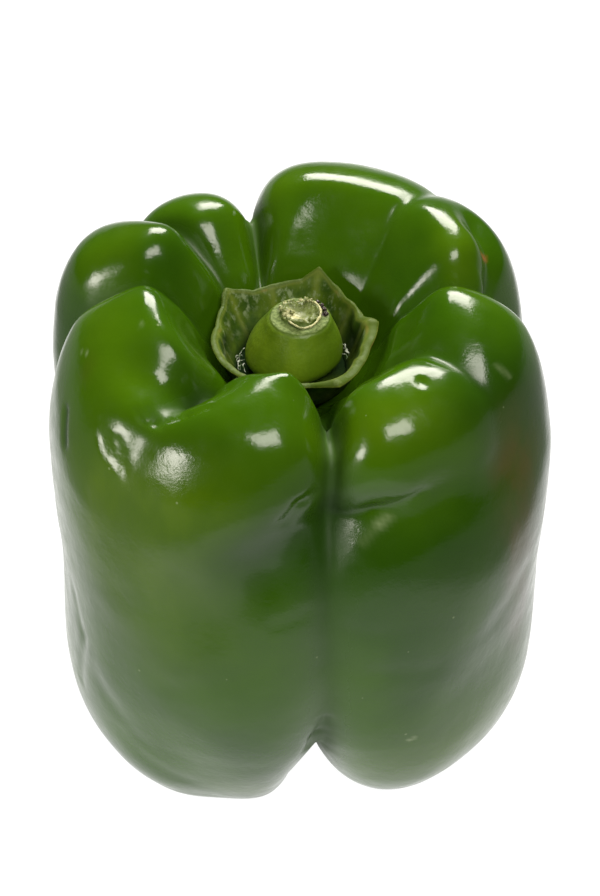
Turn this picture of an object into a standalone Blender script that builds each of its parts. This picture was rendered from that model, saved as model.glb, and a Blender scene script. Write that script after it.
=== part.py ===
"""A green bell pepper, as picked, standing upright on its lobes.

Three pieces that grew on it: the fruit, the leafy calyx cup in the hollow of its top, and the
stem stub with its torn end. Each is one closed body.

The scene is in metres, +Z up, with the origin on the surface that the pepper stands on, under
the middle of its box. The tables below are in millimetres, measured from the core of the fruit
and from that surface, and MM turns them into metres. Azimuths are degrees, counter-clockwise
from +X seen from above, and the front of the pepper faces -Y.
"""
import bmesh
import bpy
import numpy as np

MM = 0.001
NAME = "bell_pepper"

# Profile of the fruit through the middle of a lobe, from the hollow at the top, over the crest
# and down the wall to the blossom end. A place on the skin is an azimuth and a station, counted
# from 0 along this list. A furrow at a station opens in the direction given, in degrees above
# level and away from the core.
PROFILE = (
    # name, distance from the core, height, direction
    ("throat", 0.0, 79.5, 90),
    ("seat", 11.5, 80.3, 100),
    ("inner slope", 18.0, 91.2, 112),
    ("crest", 27.0, 100.7, 92),
    ("shoulder", 39.2, 94.9, 48),
    ("widest", 45.5, 76.7, 8),
    ("waist", 45.0, 47.7, 0),
    ("low", 44.0, 22.7, -8),
    ("heel", 38.2, 6.2, -38),
    ("foot", 28.5, -1.1, -68),
    ("under", 12.0, 5.7, -88),
    ("blossom end", 0.0, 10.7, -90),
)
THROAT, CREST, SHOULDER, WAIST, HEEL, FOOT, END = 0, 3, 4, 6, 8, 9, 11
PROFILE_RADII = [row[1] for row in PROFILE]
PROFILE_HEIGHTS = [row[2] for row in PROFILE]
PROFILE_DIRECTIONS = [row[3] for row in PROFILE]

# Each lobe: azimuth, then how much its crest is higher and how much its crest, shoulder, waist
# and heel stand further out than the profile
LOBES = {
    "front": (270, -1.8, -1.5, 0.0, 0.0, -2.6),
    "front right": (305, -3.8, 0.0, 0.0, 0.0, 0.0),
    "right": (350, 0.4, 0.0, 0.8, 0.0, 1.2),
    "back right": (30, 1.8, 0.4, 0.3, 0.0, 0.5),
    "back": (78, 0.7, 0.0, 0.8, 0.0, 0.0),
    "back left": (123, -1.8, 0.0, 0.0, 0.0, 0.0),
    "left": (158, 1.4, 1.0, 4.2, 3.0, 7.5),
    "front left": (205, -0.9, 0.0, 0.3, -0.4, 2.2),
}
LOBE_SPREAD = 24.0

# Each furrow between lobes: its azimuth at the crest, how far it has turned from there at the
# throat, the waist and the foot, then its depth at the crest, shoulder, waist and foot, and its
# width in degrees. The azimuths at the crest are whole steps of the fruit's grid.
FURROWS = {
    "front": (280, 9, -3, -6, 12.0, 9.0, 4.0, 14.0, 10),
    "right front": (324, -3, 0, 0, 3.0, 1.5, 0.0, 0.0, 9),
    "right": (4, 14, 1, 1, 9.0, 9.0, 6.0, 7.0, 9),
    "right rear": (12, 0, 0, 0, 0.0, 4.8, 2.2, 0.0, 8),
    "right back": (48, -4, 4, 4, 1.6, 1.5, 0.5, 0.0, 10),
    "back": (108, 10, -2, -2, 7.5, 10.5, 6.0, 7.0, 8),
    "left back": (140, -8, 0, 0, 6.0, 4.0, 1.0, 0.0, 9),
    "left": (176, -14, 0, 2, 9.0, 10.0, 7.0, 7.0, 9),
    "front left": (232, 8, -4, 0, 9.0, 1.5, 0.0, 0.0, 10),
}
# The skin beside a furrow turns with it, within about this many degrees
TURN_REACH = 18.0
# Share of its width over which the bottom of a furrow is rounded
FURROW_ROUNDING = 0.25
# Share of its width that a furrow has at the crest and inside it
CREST_WIDTH = 0.62
# Furrows and folds fade out within this distance of the core
CORE_REACH = 10.0

# Pinches in the skin, as straight valleys: azimuth and station of one end and of the other,
# half width, depth
PINCHES = (
    (282, 4.98, 291, 4.85, 7.0, 4.0),
    (291, 4.85, 304, 4.75, 8.0, 2.4),
    (272, 4.98, 264, 5.20, 7.0, 3.6),
    (264, 5.20, 253, 5.50, 7.0, 1.8),
    (304, 4.75, 318, 4.85, 8.0, 2.0),
    (220, 3.55, 238, 3.10, 8.0, 2.5),
    (26, 3.60, 8, 3.85, 4.5, 2.4),
    (296, 1.70, 297, 2.50, 6.0, 1.0),
)
# Bulges in the skin, in the same way: half width, height
BULGES = (
    (232, 6.00, 250, 6.15, 17.0, 2.6),
    (216, 4.75, 244, 4.85, 11.0, 1.3),
    (304, 5.85, 318, 5.60, 14.0, 2.0),
    (184, 2.30, 192, 2.70, 12.0, 2.1),
    (147, 2.20, 152, 2.60, 11.0, 2.1),
    (356, 2.00, 354, 2.50, 12.0, 2.2),
    (268, 2.80, 276, 2.90, 6.0, 2.0),
)
# A degree round the wall and a station down it, taken as these lengths
WALL_DEGREE = 0.7
WALL_STATION = 22.0
# The hollow of the top lies off the core, by this much across and away
THROAT_SHIFT = (-1.5, -2.0)
FRUIT_AROUND = 90
FRUIT_ALONG = 44

# Rim of the calyx cup, all round: azimuth about the cup's middle, distance, height.
# The high, far points are its pointed tips.
CALYX_MIDDLE = (-1.5, -2.0)
CALYX_RIM = (
    (8, 15.2, 89.8),
    (22, 13.6, 88.6),
    (48, 14.4, 88.4),
    (62, 15.6, 89.2),
    (73, 17.0, 91.0),
    (83, 15.6, 89.0),
    (97, 15.0, 88.4),
    (118, 14.6, 88.2),
    (135, 16.4, 89.8),
    (146, 14.6, 88.6),
    (168, 13.4, 88.2),
    (192, 14.0, 89.2),
    (216, 14.4, 88.8),
    (236, 15.2, 89.4),
    (256, 13.8, 88.6),
    (282, 14.6, 88.8),
    (297, 18.0, 90.4),
    (306, 16.4, 89.2),
    (324, 14.6, 88.2),
    (345, 14.0, 88.6),
)
CALYX_FLOOR = 80.9
CALYX_FLOOR_RADIUS = 9.6
# Share of the way from the middle to the rim that the floor takes
CALYX_FLOOR_SHARE = 0.4
# How late the wall of the cup climbs: 1 is a straight slope
CALYX_CLIMB = 1.3
CALYX_BULGE = 0.3
CALYX_THICKNESS = 0.9
# The last share of the way to the rim, over which the leaf thins to its edge
CALYX_EDGE = 0.1
CALYX_AROUND = 60
CALYX_ALONG = 11

# Stem stub: distance from its own axis and height, from the middle of the torn end to the base
STEM_PROFILE = (
    ("pith", 0.0, 92.3),
    ("torn edge", 2.9, 93.2),
    ("ring", 3.8, 92.2),
    ("cut rim", 5.2, 92.0),
    ("neck", 6.3, 90.2),
    ("side", 7.8, 87.4),
    ("bulb", 8.5, 84.6),
    ("base", 7.6, 82.6),
    ("root", 5.6, 81.8),
    ("under root", 0.0, 81.7),
)
STEM_RADII = [row[1] for row in STEM_PROFILE]
STEM_HEIGHTS = [row[2] for row in STEM_PROFILE]
STEM_FOOT = (-1.6, -0.8)
STEM_TOP = (0.0, -1.1)
STEM_RIBS = 5
STEM_RIB_SHARE = 0.018
TEAR_HEIGHT = 0.7
STEM_AROUND = 30
STEM_ALONG = 27

COLOURS = {
    "skin": (0.040, 0.120, 0.006, 1.0),
    "leaf": (0.100, 0.180, 0.020, 1.0),
    "stalk": (0.130, 0.230, 0.012, 1.0),
}


def ease(value, keys, amounts):
    """Amount at each value: level at the keys, with a smooth step from one key to the next."""
    result = np.full(np.shape(value), float(amounts[0]))
    for low, high, start, finish in zip(keys[:-1], keys[1:], amounts[:-1], amounts[1:]):
        step = np.clip((value - low) / (high - low), 0.0, 1.0)
        step = step * step * (3.0 - 2.0 * step)
        result = np.where(value >= low, start + (finish - start) * step, result)
    return result


def turn(angle):
    """An angle in degrees, brought between -180 and 180."""
    return (angle + 180.0) % 360.0 - 180.0


def along(values, station, mirror):
    """A smooth curve through the values at whole stations; mirror is -1 for a distance from the
    axis, which changes sign past either end, and 1 for a height, which doesn't."""
    row = np.array([mirror * values[1], *values, mirror * values[-2]])
    index = np.clip(np.floor(station).astype(int), 0, len(values) - 2)
    t = station - index
    a, b, c, d = row[index], row[index + 1], row[index + 2], row[index + 3]
    linear = (c - a) * t
    square = (2.0 * a - 5.0 * b + 4.0 * c - d) * t ** 2
    cube = (3.0 * b - a - 3.0 * c + d) * t ** 3
    return 0.5 * (2.0 * b + linear + square + cube)


def lobed_profile(azimuth, station):
    """Distance from the core and height on the skin, with the lobes and without the furrows."""
    radius = along(PROFILE_RADII, station, -1)
    height = along(PROFILE_HEIGHTS, station, 1)
    pulls = {name: np.exp(-(turn(azimuth - lobe[0]) / LOBE_SPREAD) ** 2) for name, lobe in LOBES.items()}
    total = sum(pulls.values())
    for name, lobe in LOBES.items():
        crest_up, crest_out, shoulder_out, waist_out, heel_out = lobe[1:]
        share = pulls[name] / total
        up = (0.0, crest_up, 0.8 * crest_up, 0.0)
        out = (0.0, crest_out, shoulder_out, waist_out, heel_out, 0.0)
        height = height + share * ease(station, (1.0, CREST, 4.2, 5.5), up)
        radius = radius + share * ease(station, (1.6, CREST, SHOULDER, WAIST, HEEL, END), out)
    return radius, height


def stroke_share(azimuth, station, azimuth_a, station_a, azimuth_b, station_b, half_width):
    """How near each place is to a straight stroke on the skin, from 0 to 1 on it."""
    across = turn(azimuth - azimuth_a) * WALL_DEGREE
    down = (station - station_a) * WALL_STATION
    run = (azimuth_b - azimuth_a) * WALL_DEGREE
    fall = (station_b - station_a) * WALL_STATION
    share = np.clip((across * run + down * fall) / (run * run + fall * fall), 0.0, 1.0)
    distance = np.hypot(across - share * run, down - share * fall)
    return np.exp(-(distance / half_width) ** 2)


def furrow_offset(azimuth, station, azimuth_at_crest, width):
    """How far each place is from the bottom of a furrow, in the furrow's widths."""
    narrow = ease(station, (CREST, WAIST), (CREST_WIDTH, 1.0))
    return turn(azimuth - azimuth_at_crest) / (width * narrow)


def furrow_depth(azimuth, station):
    """How far the furrows and pinches sink the skin, less what the bulges raise it. Where
    pinches meet, they run into one another smoothly."""
    depth = np.zeros(np.shape(station))
    for furrow in FURROWS.values():
        crest, shoulder, waist, foot, width = furrow[4:]
        deep = ease(station, (0.9, CREST, 4.3, WAIST, 8.6, 10.4), (0.0, crest, shoulder, waist, foot, 0.0))
        offset = furrow_offset(azimuth, station, furrow[0], width)
        depth += deep * np.exp(FURROW_ROUNDING - np.sqrt(offset ** 2 + FURROW_ROUNDING ** 2))
    pinches = [row[5] * stroke_share(azimuth, station, *row[:5]) for row in PINCHES]
    bulges = [row[5] * stroke_share(azimuth, station, *row[:5]) for row in BULGES]
    deepest = np.sum(np.power(pinches, 4), axis=0) ** 0.25
    return depth + deepest - np.sum(bulges, axis=0)


def furrow_turn(azimuth, station):
    """How far round the skin is turned where a furrow doesn't run straight down."""
    turned = np.zeros(np.shape(station))
    for furrow in FURROWS.values():
        at_throat, at_waist, at_foot = furrow[1:4]
        amount = ease(station, (THROAT, CREST, WAIST, FOOT), (at_throat, 0.0, at_waist, at_foot))
        turned += amount * np.exp(-(turn(azimuth - furrow[0]) / TURN_REACH) ** 2)
    return turned


def fruit_points(azimuth, station):
    """Places on the skin, in millimetres, for arrays of azimuth and station."""
    radius, height = lobed_profile(azimuth, station)
    depth = furrow_depth(azimuth, station) * np.clip(radius / CORE_REACH, 0.0, 1.0)
    direction = np.radians(along(PROFILE_DIRECTIONS, station, 1))
    radius = np.maximum(radius - depth * np.cos(direction), 0.0)
    height = np.maximum(height - depth * np.sin(direction), 0.0)
    shift = 1.0 - ease(station, (THROAT, CREST), (0.0, 1.0))
    angle = np.radians(azimuth + furrow_turn(azimuth, station))
    x = radius * np.cos(angle) + THROAT_SHIFT[0] * shift
    y = radius * np.sin(angle) + THROAT_SHIFT[1] * shift
    return np.stack([x, y, height], axis=-1)


def calyx_middle_points(azimuth, reach):
    """Places midway through the calyx, from the middle of its floor (reach 0) to its rim (reach 1)."""
    rim_angles = [row[0] for row in CALYX_RIM]
    rim_radius = np.interp(azimuth % 360.0, rim_angles, [row[1] for row in CALYX_RIM], period=360.0)
    rim_height = np.interp(azimuth % 360.0, rim_angles, [row[2] for row in CALYX_RIM], period=360.0)
    floor = np.clip(reach / CALYX_FLOOR_SHARE, 0.0, 1.0)
    wall = np.clip((reach - CALYX_FLOOR_SHARE) / (1.0 - CALYX_FLOOR_SHARE), 0.0, 1.0)
    radius = CALYX_FLOOR_RADIUS * floor + (rim_radius - CALYX_FLOOR_RADIUS) * wall
    radius = radius + CALYX_BULGE * np.sin(np.pi * wall)
    height = CALYX_FLOOR + (rim_height - CALYX_FLOOR) * wall ** CALYX_CLIMB
    angle = np.radians(azimuth)
    x = CALYX_MIDDLE[0] + radius * np.cos(angle)
    y = CALYX_MIDDLE[1] + radius * np.sin(angle)
    return np.stack([x, y, height], axis=-1)


def calyx_normals(azimuth, reach):
    """Directions square to the calyx, towards the inside of the cup."""
    ahead = calyx_middle_points(azimuth + 0.5, reach) - calyx_middle_points(azimuth - 0.5, reach)
    outer = calyx_middle_points(azimuth, np.minimum(reach + 0.01, 1.0))
    inner = calyx_middle_points(azimuth, np.maximum(reach - 0.01, 0.0))
    normal = np.cross(ahead, inner - outer)
    length = np.linalg.norm(normal, axis=-1, keepdims=True)
    upright = np.array([0.0, 0.0, 1.0])
    return np.where(length > 1e-6, normal / np.maximum(length, 1e-6), upright)


def calyx_points(azimuth, share):
    """Places on the calyx: share 0 to 0.5 runs out over its inner face, and 0.5 to 1 back
    under it over its outer face."""
    reach = 1.0 - np.abs(2.0 * share - 1.0)
    side = np.where(share <= 0.5, 1.0, -1.0)
    taper = np.sqrt(np.clip((1.0 - reach) / CALYX_EDGE, 0.0, 1.0))
    offset = side * taper * CALYX_THICKNESS / 2.0
    at_middle = reach < 0.05
    steady = np.where(at_middle, 0.0, azimuth)
    return calyx_middle_points(azimuth, reach) + offset[..., None] * calyx_normals(steady, reach)


def stem_points(azimuth, share):
    """Places on the stem, from the middle of its torn end (share 0) to the middle of its base."""
    station = share * (len(STEM_PROFILE) - 1)
    radius = along(STEM_RADII, station, -1)
    height = along(STEM_HEIGHTS, station, 1)
    angle = np.radians(azimuth)
    rib = STEM_RIB_SHARE * np.cos(STEM_RIBS * angle + 1.0) * ease(station, (3.0, 5.0), (0.0, 1.0))
    tear = np.sin(3.0 * angle + 0.6) + 0.6 * np.sin(7.0 * angle)
    height = height + TEAR_HEIGHT * 0.5 * tear * ease(station, (0.3, 1.0, 2.0), (0.0, 1.0, 0.0))
    radius = radius * (1.0 + rib)
    climb = np.clip((height - STEM_HEIGHTS[-1]) / (STEM_HEIGHTS[0] - STEM_HEIGHTS[-1]), 0.0, 1.0)
    x = STEM_FOOT[0] + (STEM_TOP[0] - STEM_FOOT[0]) * climb + radius * np.cos(angle)
    y = STEM_FOOT[1] + (STEM_TOP[1] - STEM_FOOT[1]) * climb + radius * np.sin(angle)
    return np.stack([x, y, height], axis=-1)


def sphere(around, rings):
    """A round grid to be formed, with each vertex's azimuth and its share of the way from the
    top pole to the bottom one."""
    grid = bmesh.new()
    bmesh.ops.create_uvsphere(grid, u_segments=around, v_segments=rings, radius=1.0)
    grid.verts.ensure_lookup_table()
    places = np.array([vertex.co[:] for vertex in grid.verts], dtype=float)
    azimuth = np.degrees(np.arctan2(places[:, 1], places[:, 0]))
    across = np.hypot(places[:, 0], places[:, 1])
    share = np.arctan2(across, places[:, 2]) / np.pi
    return grid, azimuth, share


def split_quads(grid, azimuth, share):
    """Cuts each four-sided face into two triangles, with its diagonal the same way round on the
    inner and the outer face of a thin piece."""
    reach = 1.0 - np.abs(2.0 * share - 1.0)
    for face in [face for face in grid.faces if len(face.verts) == 4]:
        corners = list(face.verts)
        start = azimuth[corners[0].index]
        turns = {corner: round(turn(azimuth[corner.index] - start), 3) for corner in corners}
        first = min(corners, key=lambda corner: (turns[corner], reach[corner.index]))
        opposite = corners[(corners.index(first) + 2) % 4]
        bmesh.utils.face_split(face, first, opposite)


def make_material(name, roughness):
    """A plain finish in the piece's own colour."""
    material = bpy.data.materials.new(name)
    material.use_nodes = True
    shader = material.node_tree.nodes["Principled BSDF"]
    shader.inputs["Base Color"].default_value = COLOURS[name]
    shader.inputs["Roughness"].default_value = roughness
    shader.inputs["Metallic"].default_value = 0.0
    material.diffuse_color = COLOURS[name]
    return material


def add_piece(name, grid, points, material, collection):
    """Moves the grid's vertices to the points, in millimetres, and makes it an object."""
    for vertex, point in zip(grid.verts, points * MM):
        vertex.co = point
    mesh = bpy.data.meshes.new(name)
    grid.to_mesh(mesh)
    grid.free()
    mesh.shade_smooth()
    mesh.materials.append(material)
    piece = bpy.data.objects.new(name, mesh)
    collection.objects.link(piece)
    return piece


def add_fruit(collection):
    """The fruit, and the middle of its box on the surface it stands on."""
    grid, azimuth, share = sphere(FRUIT_AROUND, FRUIT_ALONG)
    points = fruit_points(azimuth, share * END)
    middle = (points.min(axis=0) + points.max(axis=0)) / 2.0
    middle[2] = 0.0
    split_quads(grid, azimuth, share)
    add_piece("fruit", grid, points - middle, make_material("skin", 0.25), collection)
    return middle


def add_calyx(collection, middle):
    """The leafy cup round the foot of the stem."""
    grid, azimuth, share = sphere(CALYX_AROUND, 2 * CALYX_ALONG)
    points = calyx_points(azimuth, share)
    split_quads(grid, azimuth, share)
    add_piece("calyx", grid, points - middle, make_material("leaf", 0.55), collection)


def add_stem(collection, middle):
    """The stout stub of the stem, with its torn end up."""
    grid, azimuth, share = sphere(STEM_AROUND, STEM_ALONG)
    points = stem_points(azimuth, share)
    split_quads(grid, azimuth, share)
    add_piece("stem", grid, points - middle, make_material("stalk", 0.4), collection)


def main():
    for item in list(bpy.data.objects):
        bpy.data.objects.remove(item)
    collection = bpy.data.collections.new(NAME)
    bpy.context.scene.collection.children.link(collection)
    middle = add_fruit(collection)
    add_calyx(collection, middle)
    add_stem(collection, middle)


main()
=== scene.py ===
import math

import bpy
import numpy as np
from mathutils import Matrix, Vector, noise


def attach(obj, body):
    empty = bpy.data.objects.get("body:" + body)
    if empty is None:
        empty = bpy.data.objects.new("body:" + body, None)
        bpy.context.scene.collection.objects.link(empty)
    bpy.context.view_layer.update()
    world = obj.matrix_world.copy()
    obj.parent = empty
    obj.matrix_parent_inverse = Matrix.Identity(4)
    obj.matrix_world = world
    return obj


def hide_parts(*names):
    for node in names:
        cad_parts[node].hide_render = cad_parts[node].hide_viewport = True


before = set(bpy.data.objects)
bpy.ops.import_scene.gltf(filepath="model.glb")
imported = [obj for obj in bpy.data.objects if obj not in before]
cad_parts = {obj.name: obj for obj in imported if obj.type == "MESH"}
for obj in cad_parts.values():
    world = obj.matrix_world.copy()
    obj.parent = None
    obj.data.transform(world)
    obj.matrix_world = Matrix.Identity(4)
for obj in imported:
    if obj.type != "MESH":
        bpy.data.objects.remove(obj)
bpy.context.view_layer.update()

MM = 0.001

# The plain form of the fruit
# Profile: distance from the core, height, and the direction in which a furrow opens
PROFILE = (
    (0.0, 79.5, 90),
    (11.5, 80.3, 100),
    (18.0, 91.2, 112),
    (27.0, 100.7, 92),
    (39.2, 94.9, 48),
    (45.5, 76.7, 8),
    (45.0, 47.7, 0),
    (44.0, 22.7, -8),
    (38.2, 6.2, -38),
    (28.5, -1.1, -68),
    (12.0, 5.7, -88),
    (0.0, 10.7, -90),
)
THROAT, CREST, SHOULDER, WAIST, HEEL, FOOT, END = 0, 3, 4, 6, 8, 9, 11
PROFILE_RADII, PROFILE_HEIGHTS, PROFILE_DIRECTIONS = zip(*PROFILE)

# Lobes: azimuth, how far the crest stands up, how far crest, shoulder, waist and heel stand out
LOBES = (
    (270, -1.8, -1.5, 0.0, 0.0, -2.6),
    (305, -3.8, 0.0, 0.0, 0.0, 0.0),
    (350, 0.4, 0.0, 0.8, 0.0, 1.2),
    (30, 1.8, 0.4, 0.3, 0.0, 0.5),
    (78, 0.7, 0.0, 0.8, 0.0, 0.0),
    (123, -1.8, 0.0, 0.0, 0.0, 0.0),
    (158, 1.4, 1.0, 4.2, 3.0, 7.5),
    (205, -0.9, 0.0, 0.3, -0.4, 2.2),
)
LOBE_SPREAD = 24.0
# Stations where a lobe's rise and its swellings change
LOBE_UP_STATIONS = (1.0, CREST, 4.2, 5.5)
LOBE_OUT_STATIONS = (1.6, CREST, SHOULDER, WAIST, HEEL, END)
# Share of the crest's rise that is left just outside the shoulder
LOBE_UP_SHARE = 0.8

# Furrows: azimuth at the crest, turn at the throat, waist and foot, depth at the crest, shoulder,
# waist and foot, width in degrees
FURROWS = (
    (280, 9, -3, -6, 12.0, 9.0, 4.0, 14.0, 10),
    (324, -3, 0, 0, 3.0, 1.5, 0.0, 0.0, 9),
    (4, 14, 1, 1, 9.0, 9.0, 6.0, 7.0, 9),
    (12, 0, 0, 0, 0.0, 4.8, 2.2, 0.0, 8),
    (48, -4, 4, 4, 1.6, 1.5, 0.5, 0.0, 10),
    (108, 10, -2, -2, 7.5, 10.5, 6.0, 7.0, 8),
    (140, -8, 0, 0, 6.0, 4.0, 1.0, 0.0, 9),
    (176, -14, 0, 2, 9.0, 10.0, 7.0, 7.0, 9),
    (232, 8, -4, 0, 9.0, 1.5, 0.0, 0.0, 10),
)
FURROW_STATIONS = (0.9, CREST, 4.3, WAIST, 8.6, 10.4)
# Reach in degrees of a furrow's turn
TURN_REACH = 18.0
# How rounded the bottom of a furrow is, in its widths
FURROW_ROUNDING = 0.25
# Share of its width that a furrow has at the crest and inside it
CREST_WIDTH = 0.62
# Nearer to the core than this, the furrows run out
CORE_REACH = 10.0

# Pinches: azimuth and station of one end and of the other, half width, depth
PINCHES = (
    (282, 4.98, 291, 4.85, 7.0, 4.0),
    (291, 4.85, 304, 4.75, 8.0, 2.4),
    (272, 4.98, 264, 5.20, 7.0, 3.6),
    (264, 5.20, 253, 5.50, 7.0, 1.8),
    (304, 4.75, 318, 4.85, 8.0, 2.0),
    (220, 3.55, 238, 3.10, 8.0, 2.5),
    (26, 3.60, 8, 3.85, 4.5, 2.4),
    (296, 1.70, 297, 2.50, 6.0, 1.0),
)
# Bulges, in the same way, with a height in place of the depth
BULGES = (
    (232, 6.00, 250, 6.15, 17.0, 2.6),
    (216, 4.75, 244, 4.85, 11.0, 1.3),
    (304, 5.85, 318, 5.60, 14.0, 2.0),
    (184, 2.30, 192, 2.70, 12.0, 2.1),
    (147, 2.20, 152, 2.60, 11.0, 2.1),
    (356, 2.00, 354, 2.50, 12.0, 2.2),
    (268, 2.80, 276, 2.90, 6.0, 2.0),
)
# Length of a degree and of a station on the wall, by which strokes are measured
WALL_DEGREE = 0.7
WALL_STATION = 22.0
# The hollow of the top and the calyx lie this far from the core: across, away
THROAT_SHIFT = (-1.5, -2.0)

# The skin
SKIN_AROUND = 360
SKIN_RINGS = 262
# The skin lies this far inside the plain form, and its lumps rise and sink about that
SKIN_SINK = 0.40
# Lumps: size across, size upwards, height
SKIN_LUMPS = (
    (17.0, 14.0, 0.26),
    (8.0, 6.0, 0.08),
    (3.0, 3.0, 0.012),
)
# Near the surface it stands on, the skin keeps the plain form
FOOT_REACH = 4.0
# A sharp crease along the bottom of each furrow: depth, and half width as a share of the furrow's
CREASE_DEPTH = 0.6
CREASE_WIDTH = 0.25
# Depths of a furrow at which the crease begins and at which it is whole
CREASE_START = 4.0
CREASE_WHOLE = 9.0
# Depth of a furrow at which the painted shade in its bottom is darkest, and half width of that
# shade in the same share
FURROW_SHADE_DEPTH = 8.0
FURROW_SHADE_WIDTH = 0.45

# Fine creases and dents, in the same way as the pinches; a depth below 0 raises the skin
STROKES = (
    # the crease above the right pinch
    (283, 4.93, 290, 4.80, 1.6, 0.5),
    (290, 4.80, 300, 4.62, 1.3, 0.35),
    # the sliver left of the furrow
    (275, 4.48, 272, 4.58, 1.4, 0.30),
    (272, 4.58, 268, 4.78, 1.6, 0.40),
    # a raised scratch under the right pinch
    (293, 4.87, 289, 5.02, 0.9, -0.14),
    (289, 5.02, 286, 5.15, 0.9, -0.10),
    # wrinkles on the left shoulder
    (221, 4.42, 225, 4.58, 0.6, 0.20),
    (223, 4.40, 228, 4.60, 0.6, 0.22),
    (226, 4.38, 230, 4.62, 0.6, 0.20),
    (229, 4.45, 231, 4.66, 0.6, 0.16),
    # wrinkles where the front left fold ends
    (226, 3.98, 229, 4.06, 0.6, 0.25),
    (228, 3.90, 232, 4.02, 0.7, 0.30),
    (230, 4.06, 234, 4.00, 0.6, 0.22),
    (232, 3.97, 238, 3.74, 0.8, 0.45),
    (238, 3.74, 243, 3.57, 0.8, 0.45),
    # the crease of the back right shoulder
    (48, 2.30, 49, 2.90, 0.8, 0.15),
    # long hollows on the lower walls
    (318, 5.95, 328, 5.80, 2.6, 0.25),
    (290, 6.05, 300, 6.10, 2.2, 0.25),
    (284, 5.70, 290, 5.72, 1.6, 0.20),
    (245, 6.20, 262, 5.90, 2.2, 0.20),
    (222, 6.60, 232, 7.00, 3.0, 0.20),
    (226, 7.10, 240, 7.60, 2.6, 0.15),
    (266, 5.60, 274, 5.55, 1.4, 0.18),
    # the fold that runs into the notch at the foot
    (280, 6.57, 278, 6.80, 0.9, 0.35),
    (278, 6.80, 276, 7.02, 1.1, 0.50),
    # the slit high on the front left wall
    (206, 4.54, 210, 4.77, 0.9, 0.45),
    # the edge of the front left wall low down
    (209, 6.05, 214, 6.35, 1.4, 0.18),
    (214, 6.35, 209, 6.90, 1.6, 0.22),
    # the front left crest, rounder than the plain form
    (188, 2.88, 208, 3.04, 6.5, -0.40),
    # a soft rise on the inner slope of the back lobe
    (98, 2.10, 97, 2.28, 7.5, -0.80),
    # the outer side of the right front shoulder, fuller than the plain form
    (318, 3.55, 322, 4.05, 7.0, -0.50),
    # the nick on the front left wall
    (221, 4.96, 222, 5.03, 0.6, 0.08),
)
# Round dimple in the right front crest: azimuth, station, radius, depth, length of a station there
DIMPLE = (310, 3.36, 1.2, 0.50, 14.0)
# Wrinkles on its right: number all round, distance from its middle, half length, depth
DIMPLE_RAYS = (11, 2.6, 1.1, 0.10)

# Patches of colour, in the same way, with an amount in place of the depth
# Lighter, yellower green on the crest tops, the left front wall and low on the front
YELLOW_PATCHES = (
    (228, 4.9, 246, 4.6, 12.0, 0.9),
    (232, 5.4, 240, 5.6, 12.0, 0.6),
    (288, 3.6, 300, 3.7, 9.0, 0.6),
    (2, 3.1, 20, 3.1, 9.0, 0.5),
    (196, 3.6, 212, 3.8, 9.0, 0.3),
    (150, 3.3, 165, 3.4, 10.0, 0.3),
    (80, 3.2, 95, 3.2, 10.0, 0.4),
    (300, 7.4, 320, 7.2, 10.0, 0.5),
    (255, 7.8, 265, 7.9, 9.0, 0.4),
)
# Painted shade: darker in the pinch creases, the slit and the hollows, and on the right side
SHADE_PATCHES = (
    (322, 3.9, 338, 4.5, 9.0, 0.9),
    (292, 5.2, 306, 5.3, 9.0, 0.8),
    (262, 5.15, 276, 5.05, 7.0, 0.8),
    (250, 4.2, 266, 4.6, 9.0, 0.4),
    (228, 3.1, 238, 2.7, 8.0, 0.6),
    (10, 1.9, 40, 2.2, 8.0, 0.3),
    (206, 4.52, 210, 4.78, 0.9, 1.0),
)
BROWN_PATCHES = (
    (328, 4.40, 327, 4.90, 5.0, 0.6),
    (326, 4.90, 325, 5.50, 5.0, 0.8),
    (325, 5.50, 328, 6.10, 4.0, 0.9),
    (328, 6.10, 331, 6.50, 3.0, 0.7),
    (205, 3.9, 206, 4.1, 2.0, 0.2),
)
SCAR_PATCHES = (
    (17.6, 3.58, 18.4, 3.70, 0.6, 1.0),
)
PALE_PATCHES = (
    (293, 4.87, 291, 4.94, 0.8, 0.45),
    (291, 4.94, 287, 5.10, 0.7, 0.18),
    (298, 6.84, 299, 6.82, 0.35, 0.9),
    (206, 3.21, 207, 3.22, 0.5, 0.3),
    (331, 3.84, 332, 4.05, 0.5, 0.3),
    (200, 3.97, 202, 3.93, 0.3, 0.5),
)
PATCHES = {
    "yellow_patch": YELLOW_PATCHES,
    # deep: painted shade
    "deep": SHADE_PATCHES,
    "brown": BROWN_PATCHES,
    "scar": SCAR_PATCHES,
    "pale": PALE_PATCHES,
}

# Colours of the skin
SKIN_SHADE = (0.012, 0.042, 0.0012)
SKIN_DEEP = (0.021, 0.066, 0.0006)
SKIN_MID = (0.037, 0.098, 0.0007)
SKIN_YELLOW = (0.068, 0.132, 0.0012)
SKIN_FURROW_SHADE = (0.012, 0.040, 0.0024)
SKIN_BROWN = (0.056, 0.058, 0.006)
SKIN_SCAR = (0.240, 0.090, 0.020)
SKIN_PALE = (0.200, 0.260, 0.120)

# The calyx
# Middle line of the rim: azimuth, distance from the middle, height
CALYX_RIM = (
    (8, 15.2, 89.8),
    (22, 13.6, 88.6),
    (48, 14.4, 88.4),
    (62, 15.6, 89.2),
    (73, 17.0, 91.0),
    (83, 15.6, 89.0),
    (97, 15.0, 88.4),
    (118, 14.6, 88.2),
    (135, 16.4, 89.8),
    (146, 14.6, 88.6),
    (168, 13.4, 88.2),
    (192, 14.0, 89.2),
    (216, 14.4, 88.8),
    (236, 15.2, 89.4),
    (256, 13.8, 88.6),
    (282, 14.6, 88.8),
    (297, 18.0, 90.4),
    (306, 16.4, 89.2),
    (324, 14.6, 88.2),
    (345, 14.0, 88.6),
)
CALYX_FLOOR = 80.9
CALYX_FLOOR_RADIUS = 9.6
# Share of the way from the middle to the rim that the floor takes
CALYX_FLOOR_SHARE = 0.4
# The wall climbs by this power of the way, and swells by this much halfway
CALYX_CLIMB = 1.3
CALYX_BULGE = 0.3
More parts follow.
